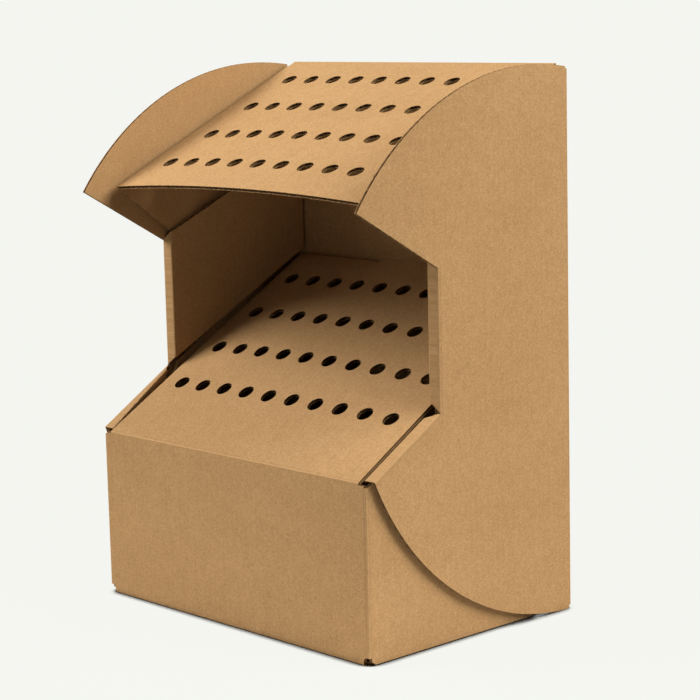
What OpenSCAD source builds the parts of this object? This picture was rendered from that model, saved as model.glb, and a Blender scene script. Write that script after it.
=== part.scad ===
// Counter display stand folded from one die-cut blank of corrugated board.
// Upright shafts stand in the perforated shelf and pass through the perforated top.
// The front of the base lies at y = 0 while the panels are laid out, and the
// finished stand is moved so that its box is centred over the origin.

/* [Board] */
// Thickness of the corrugated board
board_t = 3; // [2:0.5:4]
// Free space between two layers that lie side by side
layer_gap = 0.5; // [0.3:0.1:0.8]
// Depth to which a crease draws the board in along a fold
crease_draw = 0.15; // [0.1:0.05:0.3]
// Outer radius of a fold
fold_r = 1.2; // [0.8:0.1:1.6]
// Length by which a fold runs into the panels that it joins
fold_lap = 1; // [0.5:0.1:1.5]
// Size of the relief cuts where creases meet at a corner
corner_relief = 4; // [3:0.5:8]

/* [Whole stand] */
// Width over the two side panels
stand_w = 352; // [330:1:420]
// Depth from the front of the base to the back panel
stand_d = 238; // [225:1:270]
// Height over the side panels
stand_h = 471; // [455:1:500]
// Drop of the rear fold below the highest point of the side panels
rear_drop = 0.6; // [0.5:0.1:3]

/* [Base] */
// Height at which the front panel folds into the shelf
front_h = 149.5; // [130:0.5:165]
// Rise of the shelf towards the back in degrees
shelf_slope = 30.8; // [28:0.1:34]
// Free space between the shelf and the back panel
shelf_gap = 1; // [0.5:0.1:3]
// Free space beside the shelf at its front fold
shelf_side_gap = 2.5; // [1:0.5:6]
// Amount by which each side of the shelf draws in towards the back
shelf_taper = 3; // [0:0.5:6]
// Space between a base flap and the side panel beside it
wing_gap = 3; // [1:0.5:4]
// Distance from the front to the rear edge of the base flaps
base_flap_len = 193; // [150:1:215]
// Height of the base flaps over the floor
base_flap_lift = 1; // [0.5:0.5:3]
// Rise of the base flaps behind the necks
base_flap_step = 8; // [4:0.5:10]

/* [Shelf lock] */
// Width of the tongue that locks the shelf in the back panel
tongue_w = 98; // [60:1:140]

/* [Side panels] */
// Distance of the lower tips behind the front of the base
lower_tip_y = 4.5; // [4:0.5:10]
// Reach of the upper tips in front of the base
upper_tip_reach = 8.5; // [2:0.5:16]
// Distance of the necks behind the front of the base
neck_y = 79; // [70:1:90]
// Height of the upper end of the necks
neck_top_z = 314; // [300:1:325]
// Slope of the cut edge that rises from the neck to the upper tip in degrees
upper_slope = 30; // [25:0.5:34]
// Radius of the arc of the upper wings
upper_arc_r = 250; // [240:1:262]
// Distance of the top panel from the side panels
top_side_gap = 10; // [8:0.5:12]

/* [Turned edges] */
// Distance of the turned strip of the lower wings below the face of the shelf
strip_drop = 0.7; // [0.3:0.1:3]
// Depth to which the hooks reach down beside the shelf
hook_depth = 40; // [20:1:60]
// Distance of the hooks from the ends of their strip
hook_inset = 4; // [2:0.5:10]
// Length of the slanting cut at the upper end of the turned strip
strip_mitre = 9; // [5:0.5:14]
// Rise of the lower edge of the inner side panels over the neck's lower corner
lining_lift = 9; // [5:0.5:14]
// Rise of the upper edge of the inner side panels over the neck's upper corner
lining_top_lift = 9; // [5:0.5:14]
// Angle by which the inner side panels spring inwards in degrees
lining_toe = 4; // [0:0.5:6]
// Free space between the inner side panels and the back panel
lining_gap = 2.5; // [1:0.5:5]

/* [Top panel] */
// Length of the top panel from the rear fold to its front edge
top_len = 235; // [220:1:245]
// Fall of the top panel towards the front in degrees
top_slope = 25.5; // [22:0.5:28]
// Depth to which the top flaps reach behind the inner side panels
top_flap_tuck = 22; // [10:1:35]
// Distance of the top flaps from the back panel
top_flap_gap = 6; // [3:0.5:12]
// Angle by which the top flaps spread outwards in degrees
top_flap_spread = 4; // [3:0.5:5]

/* [Shaft holes] */
// Diameter of the shaft holes
hole_d = 15; // [10:0.5:18]
// Distance between holes along a row
hole_pitch = 30; // [24:0.5:32]
// Holes in a row
hole_cols = 10; // [4:1:10]
// Rows on each panel
hole_rows = 4; // [2:1:4]
// Distance of the first shelf row from the front fold
shelf_first_row = 72.5; // [60:0.5:80]
// Distance of the last shelf row from the rear edge
shelf_last_row = 38.5; // [25:0.5:45]
// Distance of the first top row from the rear fold
top_first_row = 33.5; // [25:0.5:45]
// Distance of the last top row from the front edge
top_last_row = 42.5; // [25:0.5:50]

/* [Hidden] */
$fn = 96;
board_colour = [0.76, 0.58, 0.38];

// Planes of the layers, counted outwards from the middle of the stand
wing_out = stand_w / 2;
wing_in = wing_out - board_t;
flap_out = wing_in - wing_gap;
flap_in = flap_out - board_t;
lining_out = flap_in - layer_gap;
lining_in = lining_out - board_t;
shelf_half_w = lining_in - shelf_side_gap;
bottom_half_w = flap_in - layer_gap;
top_half_w = wing_in - top_side_gap;

// Distance of the centre of a fold's outer round from its inner line, for the angle it turns
function fold_centre(turn) = (board_t - crease_draw - fold_r) / cos(turn / 2);

// Inner lines of the creases along the loop of panels
back_in = stand_d - board_t;
top_fold_z = stand_h - rear_drop - fold_r - fold_centre(90 + top_slope) * sin(45 + top_slope / 2);
shelf_fold_z = front_h - board_t * tan((90 - shelf_slope) / 2);

// Corners of the side panels as [y, z]
function strip_z(y) = front_h + y * tan(shelf_slope) - strip_drop / cos(shelf_slope);
lower_tip = [lower_tip_y, strip_z(lower_tip_y)];
neck_low = [neck_y, strip_z(neck_y)];
neck_mid = [neck_y, (neck_low[1] + neck_top_z) / 2];
neck_top = [neck_y, neck_top_z];
upper_tip = [-upper_tip_reach, neck_top_z + (neck_y + upper_tip_reach) * tan(upper_slope)];
strip_len = (neck_y - lower_tip_y) / cos(shelf_slope);

// The lower arc runs out flat at the rear edge, the upper arc peaks at the stand's height
lower_arc_r = (pow(stand_d - lower_tip[0], 2) + pow(lower_tip[1], 2)) / (2 * lower_tip[1]);
upper_arc_z = stand_h - upper_arc_r;
upper_arc_y = upper_tip[0] + sqrt(pow(upper_arc_r, 2) - pow(upper_tip[1] - upper_arc_z, 2));
rear_arc_z = upper_arc_z + sqrt(pow(upper_arc_r, 2) - pow(stand_d - upper_arc_y, 2));
corner_z = min(rear_arc_z, top_fold_z) - layer_gap;

// Edges of the inner side panels
lining_front = neck_y + board_t;
lining_len = (back_in - lining_gap - lining_front) / cos(lining_toe);
lining_top_rise = tan(top_slope) * cos(lining_toe);
lining_low_z = neck_low[1] + lining_lift;
lining_top_z = neck_top_z + lining_top_lift;

// Distance along the shelf from its fold
function shelf_reach(y) = (y - board_t) / cos(shelf_slope);

// The stand's box is centred over the origin
frame_y = (upper_tip_reach - stand_d) / 2;

// Flat shapes and folds

// Fold about its inner line, between the angles at which the two panels begin
// The outer round stands a little proud of the flats beside it
module fold_section(from, to) {
    skin = board_t - crease_draw;
    flat_r = fold_r - crease_draw / 3;
    centre = fold_centre(to - from) * [cos((from + to) / 2), sin((from + to) / 2)];
    polygon([
        [0, 0],
        skin * [cos(from), sin(from)] + fold_lap * [sin(from), -cos(from)],
        centre + flat_r * [cos(from), sin(from)],
        centre,
        centre + flat_r * [cos(to), sin(to)],
        skin * [cos(to), sin(to)] + fold_lap * [-sin(to), cos(to)]
    ]);
    translate(centre)
        circle(fold_r);
}

// Shape drawn as [y, z], set across the stand between two values of x
module across(x_from, x_to) {
    translate([x_from, 0, 0])
        rotate([90, 0, 90])
            linear_extrude(x_to - x_from)
                children();
}

// Shape drawn as [x, z], with its rear face at y
module upright(y) {
    translate([0, y, 0])
        rotate([90, 0, 0])
            linear_extrude(board_t)
                children();
}

// Fold along x about the inner line at [y, z]
module cross_fold(half_w, y, z, from, to) {
    across(-half_w, half_w)
        translate([y, z])
            fold_section(from, to);
}

// Fold along z about the inner line at [x, y]
module upright_fold(x, y, z_from, z_to, from, to) {
    translate([x, y, z_from])
        linear_extrude(z_to - z_from)
            fold_section(from, to);
}

// Section of a strip that turns over by two folds, with the inner lines at zero height
module turnover_section(toe) {
    translate([lining_out, 0])
        square([wing_in - lining_out, board_t]);
    translate([wing_in, 0])
        fold_section(0, 90);
    translate([lining_out, 0])
        fold_section(90, 180 - toe);
}

module both_sides() {
    children();
    mirror([1, 0, 0])
        children();
}

// Rows of holes from one distance along a panel to another
module hole_grid(first_row, last_row) {
    row_pitch = (last_row - first_row) / (hole_rows - 1);
    for (row = [0 : hole_rows - 1])
        for (col = [0 : hole_cols - 1])
            translate([(col - (hole_cols - 1) / 2) * hole_pitch, first_row + row * row_pitch])
                circle(d = hole_d);
}

// Panels of the loop that runs from the shelf round the base and up to the top

module bottom_panel() {
    translate([-bottom_half_w, board_t, 0])
        cube([2 * bottom_half_w, back_in - board_t, board_t]);
    cross_fold(bottom_half_w, back_in, board_t, 270, 360);
    cross_fold(flap_in - corner_relief, board_t, board_t, 180, 270);
}

module front_panel() {
    upright(board_t)
        difference() {
            translate([-flap_in, board_t])
                square([2 * flap_in, shelf_fold_z - board_t]);
            for (side = [-1, 1])
                translate([side * flap_in, board_t])
                    circle(corner_relief);
        }
    cross_fold(shelf_half_w + layer_gap, board_t, shelf_fold_z, 90 + shelf_slope, 180);
}

// The shelf's rear edge stands off the back panel, and its tongue enters the slot there
module shelf_outline() {
    rear = shelf_reach(back_in - shelf_gap);
    tongue_end = shelf_reach(stand_d - layer_gap);
    difference() {
        polygon([
            [-shelf_half_w, 0],
            [shelf_half_w, 0],
            [shelf_half_w - shelf_taper, rear],
            [shelf_taper - shelf_half_w, rear]
        ]);
        hole_grid(shelf_first_row, rear - shelf_last_row);
        for (side = [-1, 1])
            translate([side * (tongue_w + corner_relief) / 2, rear])
                circle(d = corner_relief);
    }
    translate([-tongue_w / 2, rear - corner_relief])
        square([tongue_w, tongue_end - rear + corner_relief]);
}

module shelf() {
    translate([0, board_t, shelf_fold_z])
        rotate([shelf_slope, 0, 0])
            linear_extrude(board_t)
                shelf_outline();
}

// The slot lies along the shelf's slope, because the tongue is pressed through the board
module back_panel() {
    slot_w = tongue_w + 2 * layer_gap;
    slot_from = shelf_reach(back_in - board_t);
    slot_to = shelf_reach(stand_d + board_t);
    notch = top_side_gap - 2 * layer_gap;
    difference() {
        upright(stand_d)
            difference() {
                translate([-wing_in, board_t])
                    square([2 * wing_in, top_fold_z - board_t]);
                for (side = [-1, 1])
                    translate([side * wing_in - notch, corner_z])
                        square(2 * notch);
            }
        translate([-slot_w / 2, board_t, shelf_fold_z])
            rotate([shelf_slope, 0, 0])
                translate([0, slot_from, -layer_gap])
                    cube([slot_w, slot_to - slot_from, board_t + 2 * layer_gap]);
    }
    cross_fold(top_half_w + layer_gap, back_in, top_fold_z, 0, 90 + top_slope);
}

module top_panel() {
    translate([0, back_in, top_fold_z])
        rotate([top_slope, 0, 0]) {
            linear_extrude(board_t)
                difference() {
                    translate([-top_half_w, -top_len])
                        square([2 * top_half_w, top_len]);
                    mirror([0, 1])
                        hole_grid(top_first_row, top_len - top_last_row);
                }
            both_sides() {
                translate([top_half_w, -top_flap_gap, 0])
                    rotate([90, 0, 0])
                        linear_extrude(top_len - top_flap_gap)
                            fold_section(top_flap_spread, 90);
                translate([top_half_w, 0, 0])
                    rotate([0, -top_flap_spread, 0])
                        across(0, board_t)
                            top_flap_outline();
            }
        }
}

// Position of a point [y, z] along the top panel and square to it
function along_top(p) =
    let (dy = p[0] - back_in, dz = p[1] - top_fold_z)
    [dy * cos(top_slope) + dz * sin(top_slope), dz * cos(top_slope) - dy * sin(top_slope)];

// The top flaps reach down behind the inner side panels
module top_flap_outline() {
    rear = back_in - top_flap_gap * cos(top_slope);
    low_rear = lining_top_z + (rear - lining_front) * tan(top_slope) - top_flap_tuck;
    tucked = [lining_front + layer_gap, lining_top_z];
    polygon([
        [-top_flap_gap - layer_gap, -fold_lap / 2],
        [layer_gap - top_len, -fold_lap / 2],
        along_top(tucked),
        along_top(tucked + [top_flap_tuck, -top_flap_tuck]),
        along_top([rear, low_rear])
    ]);
}

// Flaps at the sides of the base, each tucked between two layers of a side

module base_flap() {
    cover = (board_t + layer_gap) / cos(shelf_slope);
    step_y = lining_front + layer_gap;
    fold_top = strip_z(board_t) - cover;
    across(flap_in, flap_out)
        polygon([
            [board_t, fold_top],
            [board_t, corner_relief],
            [board_t + corner_relief, base_flap_lift],
            [base_flap_len, base_flap_lift],
            [base_flap_len, strip_z(base_flap_len) - cover + base_flap_step],
            [step_y, strip_z(step_y) - cover + base_flap_step],
            [step_y, strip_z(step_y) - cover]
        ]);
    upright_fold(flap_in, board_t, board_t + corner_relief, fold_top, 270, 360);
}

// Side panels with their turned edges

module lower_wing_outline() {
    intersection() {
        translate([stand_d, lower_arc_r])
            circle(lower_arc_r);
        polygon([[stand_d, 0], [lower_tip[0], 0], lower_tip, neck_low, neck_mid, [stand_d, neck_mid[1]]]);
    }
}

module upper_wing_outline() {
    intersection() {
        translate([upper_arc_y, upper_arc_z])
            circle(upper_arc_r);
        polygon([
            [stand_d, neck_mid[1]],
            neck_mid,
            neck_top,
            upper_tip,
            [upper_tip[0], stand_h],
            [stand_d, stand_h]
        ]);
    }
}

// The flat of a side panel ends where its folds begin
module side_flat() {
    difference() {
        union() {
            lower_wing_outline();
            upper_wing_outline();
        }
        translate([back_in, 0])
            square([2 * board_t, stand_h]);
        translate([neck_y - board_t, neck_low[1]])
            square([2 * board_t, neck_top_z - neck_low[1]]);
        translate(lower_tip)
            rotate(shelf_slope)
                translate([-2 * board_t, -board_t - crease_draw])
                    square([strip_len + 2 * board_t, 2 * board_t]);
    }
}

// Turned strip of the lower wing, with the hook that drops inside the base flap
module lower_turnover() {
    translate([0, lower_tip[0], lower_tip[1]])
        rotate([shelf_slope, 0, 0])
            translate([0, 0, -board_t]) {
                difference() {
                    translate([0, strip_len, 0])
                        rotate([90, 0, 0])
                            linear_extrude(strip_len)
                                turnover_section(0);
                    translate([0, 0, -board_t])
                        linear_extrude(3 * board_t)
                            polygon([
                                [wing_out, strip_len],
                                [lining_in, strip_len - strip_mitre],
                                [lining_in, strip_len + board_t],
                                [wing_out, strip_len + board_t]
                            ]);
                }
                across(lining_in, lining_out)
                    polygon([
                        [hook_inset, 0],
                        [2 * hook_inset, -hook_depth],
                        [strip_len - strip_mitre - 2 * hook_inset, -hook_depth],
                        [strip_len - strip_mitre - hook_inset, 0]
                    ]);
            }
}

// Turned strip at the neck, cut off aslant at both ends, which carries the inner side panel
module neck_turnover() {
    difference() {
        translate([0, lining_front, neck_low[1]])
            mirror([0, 1, 0])
                linear_extrude(lining_top_z - neck_low[1])
                    turnover_section(lining_toe);
        translate([0, lining_front + board_t, 0])
            rotate([90, 0, 0])
                linear_extrude(2 * board_t) {
                    polygon([[wing_out, neck_low[1]], [lining_in, neck_low[1]], [lining_in, lining_low_z]]);
                    polygon([[wing_out, neck_top_z], [wing_out, lining_top_z], [lining_in, lining_top_z]]);
                }
    }
    translate([lining_out, lining_front, 0])
        rotate([0, 0, lining_toe])
            across(-board_t, 0)
                polygon([
                    [0, lining_low_z],
                    [lining_len, lining_low_z + lining_len * tan(shelf_slope)],
                    [lining_len, lining_top_z + lining_len * lining_top_rise],
                    [0, lining_top_z]
                ]);
}

module side_panel() {
    across(wing_in, wing_out)
        side_flat();
    upright_fold(wing_in, back_in, board_t, corner_z, 0, 90);
    lower_turnover();
    neck_turnover();
}

module folded_stand() {
    color(board_colour)
        translate([0, frame_y, 0]) {
            bottom_panel();
            front_panel();
            shelf();
            back_panel();
            top_panel();
            both_sides() {
                base_flap();
                side_panel();
            }
        }
}

folded_stand();
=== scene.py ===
import itertools
import math
import bpy
import bmesh
from mathutils import Matrix, Vector


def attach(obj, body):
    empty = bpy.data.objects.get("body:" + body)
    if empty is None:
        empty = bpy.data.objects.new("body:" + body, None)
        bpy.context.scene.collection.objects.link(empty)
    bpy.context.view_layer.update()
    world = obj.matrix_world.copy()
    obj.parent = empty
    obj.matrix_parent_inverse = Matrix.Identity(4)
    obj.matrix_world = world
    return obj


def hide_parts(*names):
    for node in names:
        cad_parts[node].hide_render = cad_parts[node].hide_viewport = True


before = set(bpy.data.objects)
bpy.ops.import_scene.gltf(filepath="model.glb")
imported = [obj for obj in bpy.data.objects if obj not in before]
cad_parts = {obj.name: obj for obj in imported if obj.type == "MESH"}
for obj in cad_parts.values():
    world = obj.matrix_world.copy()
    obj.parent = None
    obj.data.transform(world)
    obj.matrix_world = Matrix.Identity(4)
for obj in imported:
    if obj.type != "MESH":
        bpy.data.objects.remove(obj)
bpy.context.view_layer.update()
print("frame loaded")

mm = 0.001  # sizes below are in millimetres, the scene is in metres
toRight, toBack, upward = (1, 0, 0), (0, 1, 0), (0, 0, 1)
toFront, downward = (0, -1, 0), (0, 0, -1)


class Wire:  # a socket that can stand in a sum
    def __init__(self, tree, socket):
        self.tree, self.socket = tree, socket

    @staticmethod
    def entry(made, key):  # an input by its number, its identifier or its name
        if isinstance(key, int):
            return made.inputs[key]
        exact = [s for s in made.inputs if s.identifier == key]
        return (exact or [s for s in made.inputs if s.name == key and s.enabled])[0]

    @staticmethod
    def node(tree, kind, settings=None, values=None, out=0):
        made = tree.nodes.new(kind)
        for name, value in (settings or {}).items():
            if name == "stops":
                ramp = made.color_ramp
                while len(ramp.elements) < len(value):
                    ramp.elements.new(0.5)
                for element, (place, colour) in zip(ramp.elements, value):
                    element.position, element.color = place, colour
            else:
                setattr(made, name, value)
        for key, value in (values or {}).items():
            target = Wire.entry(made, key)
            for one in value if isinstance(value, list) else [value]:
                if isinstance(one, Wire):
                    tree.links.new(one.socket, target)
                else:
                    target.default_value = one
        return Wire(tree, made.outputs[out])

    def beside(self, out):  # another output of the same node
        return Wire(self.tree, self.socket.node.outputs[out])

    def math(self, operation, *others):
        values = dict(enumerate((self, *others)))
        return Wire.node(self.tree, "ShaderNodeMath", {"operation": operation}, values)

    def flipped(self, operation, other):
        return Wire.node(self.tree, "ShaderNodeMath", {"operation": operation}, {0: other, 1: self})

    def clamped(self, high=1):
        return self.math("MAXIMUM", 0).math("MINIMUM", high)

    def __add__(self, other):
        return self.math("ADD", other)

    def __radd__(self, other):
        return self.flipped("ADD", other)

    def __sub__(self, other):
        return self.math("SUBTRACT", other)

    def __rsub__(self, other):
        return self.flipped("SUBTRACT", other)

    def __mul__(self, other):
        return self.math("MULTIPLY", other)

    def __rmul__(self, other):
        return self.flipped("MULTIPLY", other)

    def __truediv__(self, other):
        return self.math("DIVIDE", other)

    def __rtruediv__(self, other):
        return self.flipped("DIVIDE", other)

    def __gt__(self, other):
        return self.math("GREATER_THAN", other)


# the board: two liners over a fluted sheet, cut to an outline and punched in rows
board = dict(thickness=3.0, liner=0.32, medium=0.28, pitch=6.4, segments=12,  # segments to a flute
             holeSides=56, punchReach=6, roomReach=3, weld=0.0001)  # both reaches in thicknesses
boardSockets = dict(
    Float=("Thickness", "Liner", "Medium", "Flute Pitch", "Flute Angle",
           "Hole Diameter", "Hole Pitch", "Row Pitch", "First Row"),
    Int=("Columns", "Rows", "Flute Steps"),
    Material=("Liner Paper", "Flute Paper"))


def boardTree():
    tree = bpy.data.node_groups.new("corrugatedBoard", "GeometryNodeTree")
    tree.is_modifier = True
    tree.interface.new_socket("Geometry", in_out="INPUT", socket_type="NodeSocketGeometry")
    for kind, names in boardSockets.items():
        for name in names:
            tree.interface.new_socket(name, in_out="INPUT", socket_type="NodeSocket" + kind)
    tree.interface.new_socket("Geometry", in_out="OUTPUT", socket_type="NodeSocketGeometry")
    given = {s.name: Wire(tree, s) for s in tree.nodes.new("NodeGroupInput").outputs if s.name}
    outline, thickness, liner, sheet = (given[name] for name in ("Geometry", "Thickness", "Liner", "Medium"))

    def make(kind, settings=None, values=None, out=0):
        return Wire.node(tree, kind, settings, values, out)

    def vectors(operation, *values, out=0):
        return make("ShaderNodeVectorMath", {"operation": operation}, dict(enumerate(values)), out)

    def joined(*shapes):
        return make("GeometryNodeJoinGeometry", values={"Geometry": list(shapes)})

    def spot(x, y, z):
        return make("ShaderNodeCombineXYZ", values={0: x, 1: y, 2: z})

    def closed(flatSheet, height):  # a sheet drawn up into a closed slab
        walls = make("GeometryNodeExtrudeMesh", values={
            "Mesh": flatSheet, "Offset": spot(0.0, 0.0, 1.0), "Offset Scale": height, "Individual": False})
        under = make("GeometryNodeFlipFaces", values={"Mesh": flatSheet})
        return make("GeometryNodeMergeByDistance", values={
            "Geometry": joined(walls, under), "Distance": board["weld"] * mm})

    def moved(shape, place, turn=None):
        values = {"Geometry": shape, "Translation": place}
        if turn is not None:
            values["Rotation"] = turn
        return make("GeometryNodeTransform", values=values)

    def holePunches():
        rows, columns, rowPitch = given["Rows"], given["Columns"], given["Row Pitch"]
        spots = make("GeometryNodeMeshGrid", values={
            "Size X": (columns - 1) * given["Hole Pitch"], "Size Y": (rows - 1) * rowPitch,
            "Vertices X": columns, "Vertices Y": rows})
        punch = make("GeometryNodeMeshCylinder", values={
            "Vertices": board["holeSides"], "Radius": given["Hole Diameter"] / 2,
            "Depth": thickness * board["punchReach"]})
        stamped = make("GeometryNodeInstanceOnPoints", values={"Points": spots, "Instance": punch})
        stamped = make("GeometryNodeRealizeInstances", values={"Geometry": stamped})
        stamped = moved(stamped, spot(0.0, given["First Row"] + (rows - 1) * rowPitch / 2, thickness / 2))
        return make("GeometryNodeSwitch", {"input_type": "GEOMETRY"}, {"Switch": rows > 0, "True": stamped})

    punches = holePunches()

    def punched(shape):
        return make("GeometryNodeMeshBoolean", {"operation": "DIFFERENCE", "solver": "MANIFOLD"},
                    {"Mesh 1": shape, "Mesh 2": punches})

    def marked(shape, fluted):
        return make("GeometryNodeStoreNamedAttribute", {"data_type": "BOOLEAN", "domain": "FACE"},
                    {"Geometry": shape, "Name": "fluted", "Value": fluted})

    def linerSheets():
        lower = punched(closed(outline, liner))
        return joined(lower, moved(lower, spot(0.0, 0.0, thickness - liner)))

    def fluteSheet():  # a waved sheet over the whole box, cut back to the outline
        pitch = given["Flute Pitch"]
        low = make("GeometryNodeBoundBox", values={"Geometry": outline}, out="Min")
        high = low.beside("Max")
        reach = vectors("LENGTH", vectors("SUBTRACT", high, low), out="Value") + pitch * 2
        centre = make("ShaderNodeVectorMath", {"operation": "SCALE"},
                      {0: vectors("ADD", high, low), "Scale": 0.5})
        ribs = make("GeometryNodeMeshGrid", values={
            "Size X": reach, "Size Y": reach, "Vertices X": reach / pitch * board["segments"],
            "Vertices Y": given["Flute Steps"] + 1})
        across = make("ShaderNodeSeparateXYZ", values={"Vector": make("GeometryNodeInputPosition")})
        swing = (across * (2 * math.pi) / pitch).math("SINE")
        rise = swing * (thickness - liner * 2 - sheet) / 2 + (thickness - sheet) / 2
        ribs = make("GeometryNodeSetPosition", values={"Geometry": ribs, "Offset": spot(0.0, 0.0, rise)})
        turn = make("FunctionNodeEulerToRotation", values={"Euler": spot(0.0, 0.0, given["Flute Angle"])})
        ribs = moved(closed(ribs, sheet), centre, turn)
        room = moved(closed(outline, thickness * board["roomReach"]), spot(0.0, 0.0, thickness * -1))
        return make("GeometryNodeMeshBoolean", {"operation": "INTERSECT", "solver": "MANIFOLD"},
                    {"Mesh 2": [ribs, punched(room)]})

    whole = joined(marked(linerSheets(), False), marked(fluteSheet(), True))
    whole = make("GeometryNodeStoreNamedAttribute", {"data_type": "FLOAT_VECTOR", "domain": "POINT"},
                 {"Geometry": whole, "Name": "flat", "Value": make("GeometryNodeInputPosition")})
    whole = make("GeometryNodeRealizeInstances", values={"Geometry": whole})
    whole = make("GeometryNodeSetMaterial", values={"Geometry": whole, "Material": given["Liner Paper"]})
    fluted = make("GeometryNodeInputNamedAttribute", {"data_type": "BOOLEAN"}, {"Name": "fluted"})
    whole = make("GeometryNodeSetMaterial", values={
        "Geometry": whole, "Selection": fluted, "Material": given["Flute Paper"]})
    tree.links.new(whole.socket, tree.nodes.new("NodeGroupOutput").inputs[0])
    return tree


corrugated = boardTree()
socketOf = {s.name: s.identifier for s in corrugated.interface.items_tree if s.in_out == "INPUT"}
print("board ready")

# kraft paper: fine grain, a few flecks and the washboard that the flutes press through
# a noise has its cells to the metre across and along the flutes, then its detail and its roughness
kraft = dict(
    base=(0.350, 0.204, 0.088), dark=(0.284, 0.161, 0.066), light=(0.414, 0.250, 0.113),
    darkAt=0.18, baseAt=0.5, lightAt=0.82, roughness=0.82, specular=0.1,
    noises=dict(drift=(9, 16, 2, 0.5), cloud=(120, 95, 3, 0.6),
                grain=(480, 520, 3, 0.65), fine=(1200, 1050, 2, 0.6)),
    tint=dict(drift=0.25, cloud=0.35, grain=1.1, fine=1.2), washboard=0.018, patchScale=90,
    fleck=(0.20, 0.107, 0.043), flecks=(650, 420, 1, 0.5), fleckLevel=0.27, fleckGain=5, fleckMost=0.4,
    # the pale crease colour is partly real wear and partly a painted highlight along each fold's outer edge
    wornPaleAndHighlight=(0.45, 0.273, 0.122), rubAndHighlightSpots=(160, 40, 3, 0.6), rubAndHighlightWidth=1.1, rubAndHighlightGain=1.6, rubAndHighlightLoss=0.1, rubAndHighlightMost=0.75,
    bump=0.3, bumpDepth=0.2, waveHeight=0.12, fibreHeight=0.4)
medium = dict(base=(0.11, 0.059, 0.023), light=(0.19, 0.107, 0.045), grain=900, detail=3,
              roughness=0.9, specular=0.15)


def mixed(tree, factor, a, b):  # the node's third output is the colour
    return Wire.node(tree, "ShaderNodeMix", {"data_type": "RGBA"},
                     {"Factor_Float": factor, "A_Color": a, "B_Color": b}, 2)


def rgba(colour):
    return (*colour, 1)


def newPaper(name, look):
    material = bpy.data.materials.new(name)
    material.use_nodes = True
    tree = material.node_tree
    shader = tree.nodes["Principled BSDF"]
    shader.inputs["Roughness"].default_value = look["roughness"]
    shader.inputs["Specular IOR Level"].default_value = look["specular"]
    flat = Wire.node(tree, "ShaderNodeAttribute", {"attribute_name": "flat"}, out="Vector")
    return material, tree, shader, flat


def kraftMaterial(name, fold=False):
    material, tree, shader, flat = newPaper(name, kraft)
    acrossFlutes = Wire.node(tree, "ShaderNodeSeparateXYZ", values={"Vector": flat})
    alongFlutes, patch = acrossFlutes.beside("Y"), acrossFlutes.beside("Z")

    def noise(across, along, detail, rough):
        place = Wire.node(tree, "ShaderNodeCombineXYZ", values={
            0: acrossFlutes * across, 1: alongFlutes * along, 2: patch * kraft["patchScale"]})
        return Wire.node(tree, "ShaderNodeTexNoise", {"noise_dimensions": "3D"},
                         {"Vector": place, "Scale": 1.0, "Detail": detail, "Roughness": rough})

    noises = {key: noise(*cells) for key, cells in kraft["noises"].items()}
    wave = (acrossFlutes * (2 * math.pi / (board["pitch"] * mm))).math("SINE")
    tone = wave * kraft["washboard"] + kraft["baseAt"]
    for key, share in kraft["tint"].items():
        tone = tone + (noises[key] - 0.5) * share
    stops = [(kraft[key + "At"], rgba(kraft[key])) for key in ("dark", "base", "light")]
    colour = Wire.node(tree, "ShaderNodeValToRGB", {"stops": stops}, {"Fac": tone})
    flecks = (kraft["fleckLevel"] - noise(*kraft["flecks"])) * kraft["fleckGain"]
    colour = mixed(tree, flecks.clamped(kraft["fleckMost"]), colour, rgba(kraft["fleck"]))
    if fold:  # the liner is paler along a crease: partly rubbed, cracked liner and partly a painted highlight on the fold's outer edge
        rubbedAndHighlit = 1 - alongFlutes.math("ABSOLUTE") / (kraft["rubAndHighlightWidth"] * mm)
        rubbedAndHighlit = rubbedAndHighlit * (noise(*kraft["rubAndHighlightSpots"]) * kraft["rubAndHighlightGain"] - kraft["rubAndHighlightLoss"])
        colour = mixed(tree, rubbedAndHighlit.clamped(kraft["rubAndHighlightMost"]), colour, rgba(kraft["wornPaleAndHighlight"]))
    height = wave * kraft["waveHeight"] + (noises["grain"] + noises["fine"]) * kraft["fibreHeight"]
    bump = Wire.node(tree, "ShaderNodeBump", values={
        "Strength": kraft["bump"], "Distance": kraft["bumpDepth"] * mm, "Height": height})
    tree.links.new(colour.socket, shader.inputs["Base Color"])
    tree.links.new(bump.socket, shader.inputs["Normal"])
    return material


def mediumMaterial(name):
    material, tree, shader, flat = newPaper(name, medium)
    grain = Wire.node(tree, "ShaderNodeTexNoise", values={
        "Vector": flat, "Scale": medium["grain"], "Detail": medium["detail"]})
    colour = mixed(tree, grain, rgba(medium["base"]), rgba(medium["light"]))
    tree.links.new(colour.socket, shader.inputs["Base Color"])
    return material


linerPaper = kraftMaterial("kraftLiner")
foldPaper = kraftMaterial("kraftFold", fold=True)
flutePaper = mediumMaterial("fluteMedium")
print("paper ready")

sharpAngle = 35  # degrees past which an edge stays sharp
patchStep = 0.05  # metres of paper between the patches that two bits are cut from
patchCount = itertools.count(1)
looseBits = []  # meshes waiting to be joined into a piece


def addObject(name, data):
    made = bpy.data.objects.new(name, data)
    bpy.context.scene.collection.objects.link(made)
    return made


def outlineMesh(faces):
    spots, polygons = {}, []
    for face in faces:
        polygons.append([spots.setdefault((round(u, 4), round(v, 4)), len(spots)) for u, v in face])
    mesh = bpy.data.meshes.new("outline")
    mesh.from_pydata([(u * mm, v * mm, 0) for u, v in spots], [], polygons)
    for polygon in mesh.polygons:
        if polygon.normal.z < 0:
            polygon.flip()
    mesh.update()
    return mesh


def keepBit(mesh, across, along, out):
    if across.cross(along).dot(out) < 0:
        mesh.flip_normals()
    mesh.shade_smooth()
    mesh.set_sharp_from_angle(angle=math.radians(sharpAngle))
    mesh.update()
    looseBits.append(addObject("bit", mesh))


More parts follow.
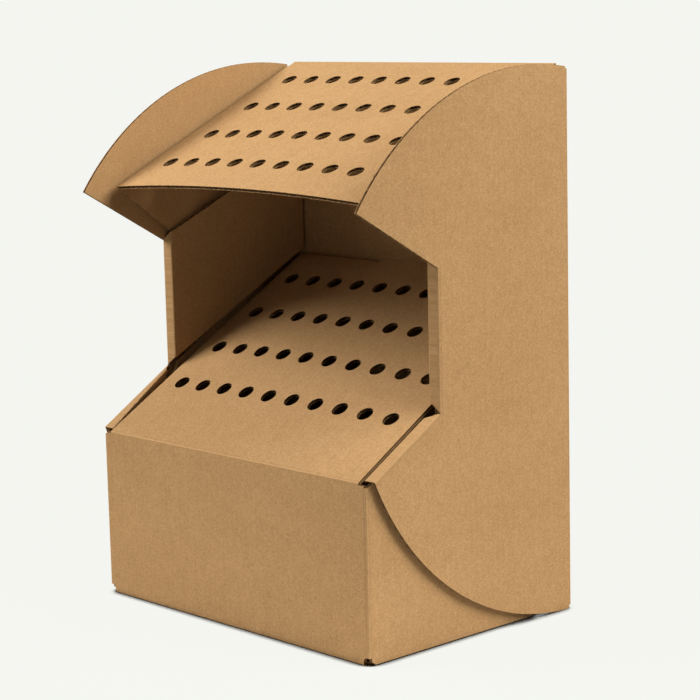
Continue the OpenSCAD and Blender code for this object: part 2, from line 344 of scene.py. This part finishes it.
def panel(faces, place, holes=None, angle=0.0, shape=None, steps=1):
    # board cut to an outline: place has its origin and three axes, shape bends it in its own millimetres
    cut = addObject("cut", outlineMesh(faces))
    modifier = cut.modifiers.new("board", "NODES")
    modifier.node_group = corrugated
    holes = holes or dict(shaftHoles, rowPitch=0, first=0, rows=0)  # no rows leave it whole
    lengths = {"Thickness": board["thickness"], "Liner": board["liner"], "Medium": board["medium"],
               "Flute Pitch": board["pitch"], "Hole Diameter": holes["diameter"],
               "Hole Pitch": holes["pitch"], "Row Pitch": holes["rowPitch"], "First Row": holes["first"]}
    inputs = {name: length * mm for name, length in lengths.items()}
    inputs.update({"Flute Angle": angle, "Columns": holes["columns"], "Rows": holes["rows"],
                   "Flute Steps": steps, "Liner Paper": linerPaper, "Flute Paper": flutePaper})
    for name, value in inputs.items():
        modifier[socketOf[name]] = value
    cut.update_tag()
    graph = bpy.context.evaluated_depsgraph_get()
    mesh = bpy.data.meshes.new_from_object(cut.evaluated_get(graph))
    bpy.data.objects.remove(cut)
    flat, patch = mesh.attributes["flat"].data, patchStep * next(patchCount)
    spots = [vertex.co.copy() for vertex in mesh.vertices]
    for i, spot in enumerate(spots):
        flat[i].vector = (spot.x, spot.y, spot.z + patch)
    origin, across, along, out = (Vector(p) for p in place)
    for vertex, spot in zip(mesh.vertices, spots):
        u, v, w = shape(*(spot / mm)) if shape else spot / mm
        vertex.co = (origin + across * u + along * v + out * w) * mm
    keepBit(mesh, across, along, out)


def bar(loop, paper, place, ends, off):
    # a closed bar along its third axis
    # ends say where each point of the loop starts and stops, and off how far it lies from the crease
    shell = bmesh.new()
    first = [shell.verts.new((a * mm, b * mm, ends(a, b)[0] * mm)) for a, b in loop]
    last = [shell.verts.new((a * mm, b * mm, ends(a, b)[1] * mm)) for a, b in loop]
    faces = [shell.faces.new(first), shell.faces.new(last)]
    for i in range(len(loop)):
        j = (i + 1) % len(loop)
        faces.append(shell.faces.new((first[i], first[j], last[j], last[i])))
    bmesh.ops.recalc_face_normals(shell, faces=faces)
    mesh = bpy.data.meshes.new("bar")
    shell.to_mesh(mesh)
    shell.free()
    mesh.materials.append(paper)
    mesh.attributes.new("flat", "FLOAT_VECTOR", "POINT")
    flat, patch = mesh.attributes["flat"].data, patchStep * next(patchCount)
    origin, across, out, along = (Vector(p) for p in place)
    for i, vertex in enumerate(mesh.vertices):
        a, b, s = vertex.co / mm
        flat[i].vector = (s * mm, off(a, b) * mm, patch)
        vertex.co = (origin + across * a + out * b + along * s) * mm
    keepBit(mesh, across, out, along)


# a scored fold, drawn in a little and rounded outside, with its flutes set back at the ends
fold = dict(draw=0.15, round=1.2, steps=6, innerSteps=3, recess=1.1)
skinDepth = board["thickness"] - fold["draw"]


def polar(radius, angle, centre=(0, 0)):
    turn = math.radians(angle)
    return (centre[0] + radius * math.cos(turn), centre[1] + radius * math.sin(turn))


def bearing(point, centre):
    return math.degrees(math.atan2(point[1] - centre[1], point[0] - centre[0]))


def arc(radius, start, stop, steps, centre=(0, 0)):
    return [polar(radius, start + (stop - start) * i / steps, centre) for i in range(steps + 1)]


def bent(depth, start, stop, pivot=(0, 0)):
    # path round a fold at a depth from its inner line
    half = math.radians(stop - start) / 2
    centre = polar((skinDepth - fold["round"]) / math.cos(half), (start + stop) / 2, pivot)
    turned = arc(depth - skinDepth + fold["round"], start, stop, fold["steps"], centre)
    return [polar(depth, start, pivot)] + turned + [polar(depth, stop, pivot)]


def crease(place, start, stop, low, high):
    # a fold: outer liner, squeezed flutes and inner liner
    liner, recess, mid = board["liner"], fold["recess"], math.radians(start + stop) / 2
    skin, under = bent(skinDepth, start, stop), bent(skinDepth - liner, start, stop)
    inner = arc(liner, start, stop, fold["innerSteps"])

    def off(a, b):
        return b * math.cos(mid) - a * math.sin(mid)

    bar(skin + under[::-1], foldPaper, place, lambda a, b: (low, high), off)
    bar(under + inner[::-1], flutePaper, place, lambda a, b: (low + recess, high - recess), off)
    bar(inner + [(0, 0)], linerPaper, place, lambda a, b: (low, high), off)


def gather(name):
    # what was made since the last piece becomes one object
    bits = looseBits[:]
    looseBits.clear()
    piece = bits[0]
    piece.name = piece.data.name = name
    with bpy.context.temp_override(active_object=piece, object=piece,
                                   selected_objects=bits, selected_editable_objects=bits):
        bpy.ops.object.join()
    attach(piece, "root")
    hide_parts("folded_stand")
    print(name, len(piece.data.polygons), "faces")
    return piece


# the folded stand, counted from the front of the base, with x across, y to the back and z up
# from the outside in, each side has the wing, the base flap and the lining
stand = dict(width=352, depth=238, height=471, rearDrop=0.6, wingReach=8.5, wingGap=3, layerGap=0.5)
thick, layerGap = board["thickness"], stand["layerGap"]
yOffset = (stand["wingReach"] - stand["depth"]) / 2  # the stand's box is centred over the origin
wingOut = stand["width"] / 2
wingIn = wingOut - thick
flapIn = wingIn - stand["wingGap"] - thick
liningOut = flapIn - layerGap
liningIn = liningOut - thick
backIn = stand["depth"] - thick


def at(x, y, z):
    return (x, y + yOffset, z)


def slopeOf(angle):
    return [f(math.radians(angle)) for f in (math.tan, math.cos, math.sin)]


def rectangle(u0, v0, u1, v1):
    return [(u0, v0), (u1, v0), (u1, v1), (u0, v1)]


def mirrored(points):
    return [(-u, v) for u, v in points]


# base: bottom and front, with the flaps at the sides of the front
base = dict(frontHeight=149.5, flapLength=193, flapLift=1, flapStep=8, relief=4, reliefSteps=8)


def makeBase():
    relief, length, lift, step = (base[key] for key in ("relief", "flapLength", "flapLift", "flapStep"))
    panel([rectangle(-liningOut, thick, liningOut, backIn)], (at(0, 0, thick), toRight, toBack, downward))
    corner = arc(relief, 180, 90, base["reliefSteps"], (flapIn, thick))
    frontSheet = mirrored(corner) + [(-flapIn, shelfZ), (flapIn, shelfZ)] + corner[::-1]
    panel([frontSheet], (at(0, thick, 0), toRight, upward, toFront))
    crease((at(0, thick, thick), toBack, upward, toRight), 180, 270, relief - flapIn, flapIn - relief)
    crease((at(0, backIn, thick), toBack, upward, toRight), 270, 360, -liningOut, liningOut)

    def flapTop(y):  # the wing's strip lies over the flap
        return stripZ(y) - (thick + layerGap) / shelfCos

    stepY = liningFront + layerGap
    flap = [(thick, flapTop(thick)), (thick, relief), (thick + relief, lift), (length, lift),
            (length, flapTop(length) + step), (stepY, flapTop(stepY) + step), (stepY, flapTop(stepY))]
    for side in (-1, 1):
        outward = (side, 0, 0)
        panel([flap], (at(side * flapIn, 0, 0), toBack, upward, outward))
        crease((at(side * flapIn, thick, 0), outward, toBack, upward), -90, 0, thick + relief, flapTop(thick))
    gather("basePanels")


# holes for the shafts, in rows between a distance from a sheet's fold and one from its far edge
shaftHoles = dict(diameter=15, pitch=30, columns=10, rows=4)


def holeRows(sheet, length, first):
    pitch = (length - sheet["foldRow"] - sheet["edgeRow"]) / (shaftHoles["rows"] - 1)
    return dict(shaftHoles, first=first, rowPitch=pitch)


# shelf: it slopes up to the back, where its tongue sits in a slot
shelf = dict(slope=30.8, backGap=1, sideGap=2.5, taper=3, bow=4.2, tongue=98, foldRow=72.5, edgeRow=38.5,
             columns=24, bands=14, fluteSteps=40, reliefSteps=6)
shelfTan, shelfCos, shelfSin = slopeOf(shelf["slope"])
shelfHalf = liningIn - shelf["sideGap"]
shelfZ = base["frontHeight"] - thick * math.tan(math.radians((90 - shelf["slope"]) / 2))


def makeShelf():
    rear = (backIn - shelf["backGap"] - thick) / shelfCos
    tip = (stand["depth"] - layerGap - thick) / shelfCos
    tongue, relief, columns, bands = shelf["tongue"] / 2, base["relief"], shelf["columns"], shelf["bands"]

    def line(v):
        half = shelfHalf - shelf["taper"] * v / rear
        return [(half * (2 * i / columns - 1), v) for i in range(columns + 1)]

    lines = [line((rear - relief) * j / bands) for j in range(bands + 1)]
    faces = [(a[i], a[i + 1], b[i + 1], b[i]) for a, b in zip(lines, lines[1:]) for i in range(columns)]
    notch = arc(relief / 2, 360, 180, shelf["reliefSteps"], (tongue + relief / 2, rear))
    end = line(rear)[-1:] + notch + [(tongue, tip)]
    faces.append(lines[-1] + end + mirrored(end[::-1]))

    def bowed(u, v, w):  # the shelf springs up between its front fold and its tongue
        rise = shelf["bow"] * max(0, math.sin(math.pi * v / rear))
        return (u, v, w + rise * (1 - (u / shelfHalf) ** 2))

    place = (at(0, thick, shelfZ), toRight, (0, shelfCos, shelfSin), (0, -shelfSin, shelfCos))
    holes = holeRows(shelf, rear, shelf["foldRow"])
    panel(faces, place, holes, shape=bowed, steps=shelf["fluteSteps"])
    crease((at(0, thick, shelfZ), toBack, upward, toRight), 90 + shelf["slope"], 180, -shelfHalf, shelfHalf)
    gather("shelf")


# back: one sheet with the slot for the shelf's tongue and a notch at each end of the top's fold
def makeBack():
    corner, notch, foldHalf = cornerHeight(), topHalf + 2 * layerGap, topHalf + layerGap
    slotLow = shelfZ + (backIn - thick) * shelfTan - layerGap / shelfCos
    slotHigh = slotLow + (thick + 2 * layerGap) / shelfCos
    slot, touch = shelf["tongue"] / 2 + layerGap, 0.1
    left = [(-wingIn, thick), (-slot, thick), (-slot, slotLow), (-slot, slotHigh), (-slot, topZ),
            (-notch, topZ), (-notch, corner), (-wingIn, corner)]
    faces = [left, mirrored(left), rectangle(-slot, thick, slot, slotLow),
             rectangle(-slot, slotHigh, slot, topZ)]

    def aslant(u, v, w):  # the slot is cut along the shelf's slope
        atSlot = abs(u) < slot + touch and slotLow - touch < v < slotHigh + touch
        return (u, v + w * shelfTan if atSlot else v, w)

    panel(faces, (at(0, backIn, 0), toRight, upward, toBack), shape=aslant)
    crease((at(0, backIn, topZ), toBack, upward, toRight), 0, 90 + topSheet["slope"], -foldHalf, foldHalf)
    gather("backPanel")


# top: it hangs forward from the back, with two flaps tucked in between the wings and the linings
topSheet = dict(length=235, slope=25.5, sideGap=10, tuck=22, flapGap=6, spread=4, bow=6.8,
                foldRow=33.5, edgeRow=42.5, columns=28)
topTan, topCos, topSin = slopeOf(topSheet["slope"])
topHalf = wingIn - topSheet["sideGap"]
foldRise = fold["round"] + (skinDepth - fold["round"]) * math.tan(math.radians(45 + topSheet["slope"] / 2))
topZ = stand["height"] - stand["rearDrop"] - foldRise


def makeTop():
    length, gap, tuck, columns = (topSheet[key] for key in ("length", "flapGap", "tuck", "columns"))
    spot, along, out = (0, backIn, topZ), Vector((0, topCos, topSin)), Vector((0, -topSin, topCos))
    lines = [topHalf * (2 * i / columns - 1) for i in range(columns + 1)]
    faces = [rectangle(a, -length, b, 0) for a, b in zip(lines, lines[1:])]

    def bowed(u, v, w):  # the top springs up between its flaps, most at its free edge
        return (u, v, w + topSheet["bow"] * (-v / length) * (1 - (u / topHalf) ** 2))

    holes = holeRows(topSheet, length, topSheet["edgeRow"] - length)
    panel(faces, (at(*spot), toRight, along, out), holes, shape=bowed)

    def onTop(y, z):  # a place at the side, counted along the top and square to it
        dy, dz = y - backIn, z - topZ
        return (dy * topCos + dz * topSin, dz * topCos - dy * topSin)

    tucked, rear = liningFront + layerGap, backIn - gap * topCos
    flap = [(-gap - layerGap, -layerGap), (layerGap - length, -layerGap), onTop(tucked, liningTop),
            onTop(tucked + tuck, liningTop - tuck),
            onTop(rear, liningTop + (rear - liningFront) * topTan - tuck)]
    spread = math.radians(topSheet["spread"])
    for side in (-1, 1):
        outward, corner = Vector((side, 0, 0)), at(side * topHalf, backIn, topZ)
        flapUp = out * math.cos(spread) - outward * math.sin(spread)
        flapOut = outward * math.cos(spread) + out * math.sin(spread)
        panel([flap], (corner, along, flapUp, flapOut))
        crease((corner, outward, out, along), topSheet["spread"], 90, -length, -gap)
    gather("topPanel")


# sides: a lower and an upper wing, and at the front two turned strips that carry a hook and the lining
wings = dict(lowerTip=4.5, neck=79, neckTop=314, upperSlope=30, upperRadius=250,
             lowerSteps=40, upperSteps=48, tipTurn=0.4)  # the lower arc begins a little past its tip
edges = dict(drop=0.7, hookDepth=40, hookInset=4, mitre=9, liningLift=9, liningTopLift=9, liningGap=2.5,
             toe=4)  # degrees that the lining springs inwards
liningFront = wings["neck"] + thick
liningTop = wings["neckTop"] + edges["liningTopLift"]


def stripZ(y):  # the upper face of a lower wing's strip
    return base["frontHeight"] + y * shelfTan - edges["drop"] / shelfCos


def underStrip(y, z):  # from the strip's face to its crease line
    return (y + shelfSin * thick, z - shelfCos * thick)


def acrossStrip(a):  # 0 at the wing's face and 1 at the lining's
    return (wingOut - a) / (wingOut - liningIn)


def upperArc():  # the upper wing's tip and the centre of its arc
    reach, radius = stand["wingReach"], wings["upperRadius"]
    tip = (-reach, wings["neckTop"] + (wings["neck"] + reach) * math.tan(math.radians(wings["upperSlope"])))
    z = stand["height"] - radius
    return tip, (tip[0] + math.sqrt(radius ** 2 - (tip[1] - z) ** 2), z)


def cornerHeight():  # where the fold between the back and a side ends
    y, z = upperArc()[1]
    return min(z + math.sqrt(wings["upperRadius"] ** 2 - (stand["depth"] - y) ** 2), topZ) - layerGap


def sideOutline(tip, neckLow):
    # the flat of the wing begins at the crease of its strip, and the lower arc runs out flat at the back
    lowRadius = ((stand["depth"] - tip[0]) ** 2 + tip[1] ** 2) / (2 * tip[1])
    lowCentre, lowTip = (stand["depth"], lowRadius), underStrip(*tip)
    lowStart = bearing(lowTip, lowCentre) % 360 + wings["tipTurn"]
    lowStop = 360 - math.degrees(math.acos((backIn - lowCentre[0]) / lowRadius))
    upRadius, (upTip, upCentre) = wings["upperRadius"], upperArc()
    upStart = math.degrees(math.acos((backIn - upCentre[0]) / upRadius))
    points = [underStrip(*neckLow), lowTip]
    points += arc(lowRadius, lowStart, lowStop, wings["lowerSteps"], lowCentre)
    points += arc(upRadius, upStart, bearing(upTip, upCentre), wings["upperSteps"], upCentre)
    neckTop = wings["neckTop"]
    return points + [(wings["neck"], neckTop), (liningFront, neckTop), (liningFront, neckLow[1]), neckLow]


def turnover(place, ends, toe):
    # two folds with a narrow flat between them, as one strip
    def path(depth):
        return bent(depth, 0, 90, (wingIn, 0)) + bent(depth, 90, 180 - toe, (liningOut, 0))

    def setBack(a, b):
        low, high = ends(a, b)
        return (low + fold["recess"], high - fold["recess"])

    def off(a, b):  # from the nearer of the two creases
        return min(wingIn + b - a, a + b - liningOut, key=abs) * math.sqrt(0.5)

    outer, under = path(skinDepth), path(skinDepth - board["liner"])
    bar(outer + under[::-1], foldPaper, place, ends, off)
    bar(under + [(liningOut, 0), (wingIn, 0)], flutePaper, place, setBack, off)


def lowerStrip(side, tip):
    spot, along, out = underStrip(*tip), (0, shelfCos, shelfSin), (0, -shelfSin, shelfCos)
    length = (wings["neck"] - wings["lowerTip"]) / shelfCos

    def ends(a, b):
        return (0, length - edges["mitre"] * acrossStrip(a))

    turnover((at(0, *spot), (side, 0, 0), out, along), ends, 0)
    inset, depth, stop = edges["hookInset"], edges["hookDepth"], length - edges["mitre"]
    hook = [(inset, 0), (2 * inset, -depth), (stop - 2 * inset, -depth), (stop - inset, 0)]
    fluteTurn = math.radians(2 * shelf["slope"])  # the folds turn its flutes
    panel([hook], (at(side * liningOut, *spot), along, out, (-side, 0, 0)), angle=fluteTurn)


def neckStrip(side, lowZ):
    lift, topLift, toe = edges["liningLift"], edges["liningTopLift"], math.radians(edges["toe"])

    def ends(a, b):
        return (lowZ + acrossStrip(a) * lift, wings["neckTop"] + acrossStrip(a) * topLift)

    turnover((at(0, liningFront, 0), (side, 0, 0), toFront, upward), ends, edges["toe"])
    run, liningLow = (backIn - edges["liningGap"] - liningFront) / math.cos(toe), lowZ + lift
    lining = [(0, liningLow), (run, liningLow + run * shelfTan),
              (run, liningTop + run * topTan * math.cos(toe)), (0, liningTop)]
    along, out = (-side * math.sin(toe), math.cos(toe), 0), (-side * math.cos(toe), -math.sin(toe), 0)
    panel([lining], (at(side * liningOut, liningFront, 0), along, upward, out))


def makeSide(side, name):
    outward = (side, 0, 0)
    tip, neckLow = ((y, stripZ(y)) for y in (wings["lowerTip"], wings["neck"]))
    panel([sideOutline(tip, neckLow)], (at(side * wingIn, 0, 0), toBack, upward, outward))
    crease((at(side * wingIn, backIn, 0), outward, toBack, upward), 0, 90, thick, cornerHeight())
    lowerStrip(side, tip)
    neckStrip(side, neckLow[1])
    return gather(name)


# the left strip has sprung up towards the neck, and its hook has crept up and forward with it
spring = dict(lift=2.4, turn=5, fade=90, fadeAbove=0.8, hookNear=0.3, hookGap=1, wingSlack=0.2)


def clipped(value):
    return min(1, max(0, value))


def springLeft(piece):
    tip, neck = wings["lowerTip"], wings["neck"]
    for vertex in piece.data.vertices:
        x, y, z = vertex.co.x / mm, vertex.co.y / mm - yOffset, vertex.co.z / mm
        share = max(0, min((y - tip) / (neck - tip), (backIn - y) / (backIn - neck)))
        above = z - stripZ(y)
        near = 1 - max(-above, above * spring["fadeAbove"]) / spring["fade"]
        vertex.co.z += spring["lift"] * share * clipped(near) * mm
        if y < neck - spring["hookGap"] and near > spring["hookNear"]:
            inward = clipped((x + wingIn - spring["wingSlack"]) / (wingIn - liningOut))
            turn = spring["turn"] * share * inward * math.sqrt(0.5) * mm
            vertex.co += Vector((0, -turn, turn))


makeBase()
makeShelf()
makeBack()
makeTop()
springLeft(makeSide(-1, "leftSide"))
makeSide(1, "rightSide")
print("stand folded")

# plain floor and pale background, in metres, with a thin painted shade where the stand touches the floor
stageLook = dict(background=(0.905, 0.914, 0.872), floor=(0.78, 0.78, 0.755), shade=(0.06, 0.055, 0.05),
                 ambient=(1, 0.99, 0.97), ambientLevel=0.02, reach=0.5, glow=0.975, near=0.3, far=0.49,
                 contact=0.016, contactLow=0.55, contactGain=6, contactSamples=12)


def clearedTree(owner):
    owner.use_nodes = True
    owner.node_tree.nodes.clear()
    return owner.node_tree


def seenRays(tree):  # rays that see the pale ground as it is written
    camera = Wire.node(tree, "ShaderNodeLightPath", out="Is Camera Ray")
    seen = camera.math("MAXIMUM", camera.beside("Is Glossy Ray"))
    return seen.math("MAXIMUM", camera.beside("Is Transmission Ray"))


def shownAs(tree, factor, first, second, kind):
    both = Wire.node(tree, "ShaderNodeMixShader", values={0: factor, 1: first, 2: second})
    tree.links.new(both.socket, tree.nodes.new(kind).inputs["Surface"])


def floorMaterial():
    material = bpy.data.materials.new("paleFloor")
    tree = clearedTree(material)
    spot = Wire.node(tree, "ShaderNodeTexCoord", out="Object")
    away = Wire.node(tree, "ShaderNodeVectorMath", {"operation": "LENGTH"}, {0: spot}, "Value")
    fade = ((away - stageLook["near"]) / (stageLook["far"] - stageLook["near"])).clamped()
    clear = Wire.node(tree, "ShaderNodeAmbientOcclusion", {"samples": stageLook["contactSamples"]},
                      {"Distance": stageLook["contact"]}, "AO")
    clear = ((clear - stageLook["contactLow"]) * stageLook["contactGain"]).clamped()
    share = (stageLook["glow"] + fade * (1 - stageLook["glow"])) * clear
    # the dark diffuse is painted shade, mixed in where ambient occlusion finds the stand close to the floor
    shade, matte = (Wire.node(tree, "ShaderNodeBsdfDiffuse", values={"Color": rgba(stageLook[key])})
                    for key in ("shade", "floor"))
    matte = Wire.node(tree, "ShaderNodeMixShader", values={0: clear, 1: shade, 2: matte})
    glow = Wire.node(tree, "ShaderNodeEmission", values={
        "Color": rgba(stageLook["background"]), "Strength": 1.0})
    shownAs(tree, seenRays(tree) * share, matte, glow, "ShaderNodeOutputMaterial")
    return material


def makeFloor():
    grid = bmesh.new()
    bmesh.ops.create_grid(grid, x_segments=1, y_segments=1, size=stageLook["reach"])
    mesh = bpy.data.meshes.new("floor")
    grid.to_mesh(mesh)
    grid.free()
    mesh.materials.append(floorMaterial())
    floor = addObject("floor", mesh)


def makeWorld():
    world = bpy.data.worlds.new("studio")
    tree = clearedTree(world)

    def light(colour, strength):
        return Wire.node(tree, "ShaderNodeBackground", values={"Color": rgba(colour), "Strength": strength})

    lit = light(stageLook["ambient"], stageLook["ambientLevel"])
    shown = light(stageLook["background"], 1.0)
    shownAs(tree, seenRays(tree), lit, shown, "ShaderNodeOutputWorld")
    bpy.context.scene.world = world


# soft lights: azimuth from the front to the right and elevation in degrees, width in metres, power in watts
lamps = dict(colour=(1, 0.985, 0.96), aim=(0, 0, 0.25), distance=2.1)
softLights = dict(leftFront=(-49, 36, 1.3, 63), above=(-10, 66, 1.2, 12), rightRear=(113, 37, 1.8, 76))


def awayTo(azimuth, elevation):
    a, e = math.radians(azimuth), math.radians(elevation)
    return Vector((math.sin(a) * math.cos(e), -math.cos(a) * math.cos(e), math.sin(e)))


def softLight(name, azimuth, elevation, width, power):
    lamp = bpy.data.lights.new(name, "AREA")
    lamp.shape = "DISK"
    lamp.size, lamp.energy, lamp.color = width, power, lamps["colour"]
    made, away = addObject(name, lamp), awayTo(azimuth, elevation)
    made.location = Vector(lamps["aim"]) + away * lamps["distance"]
    made.rotation_euler = away.to_track_quat("Z", "Y").to_euler()


makeFloor()
makeWorld()
for lightName, lightSetting in softLights.items():
    softLight(lightName, *lightSetting)
print("floor and lights ready")

# camera: degrees, and its place in metres
view = dict(azimuth=46.87, elevation=9.18, roll=-1.36, lens=110.45, sensor=36, near=0.05, far=200,
            place=(1.3690, -1.2512, 0.5243))


def makeCamera():
    azimuth, roll = math.radians(view["azimuth"]), math.radians(view["roll"])
    away = awayTo(view["azimuth"], view["elevation"])
    level = Vector((math.cos(azimuth), math.sin(azimuth), 0))
    right = level * math.cos(roll) + away.cross(level) * math.sin(roll)
    turn = Matrix((right, away.cross(right), away)).transposed()
    lens = bpy.data.cameras.new("camera")
    lens.lens, lens.sensor_width = view["lens"], view["sensor"]
    lens.clip_start, lens.clip_end = view["near"], view["far"]
    camera = addObject("camera", lens)
    camera.matrix_world = Matrix.Translation(view["place"]) @ turn.to_4x4()
    bpy.context.scene.camera = camera


makeCamera()
bpy.context.scene.view_settings.view_transform = "Standard"

print("scene ready")
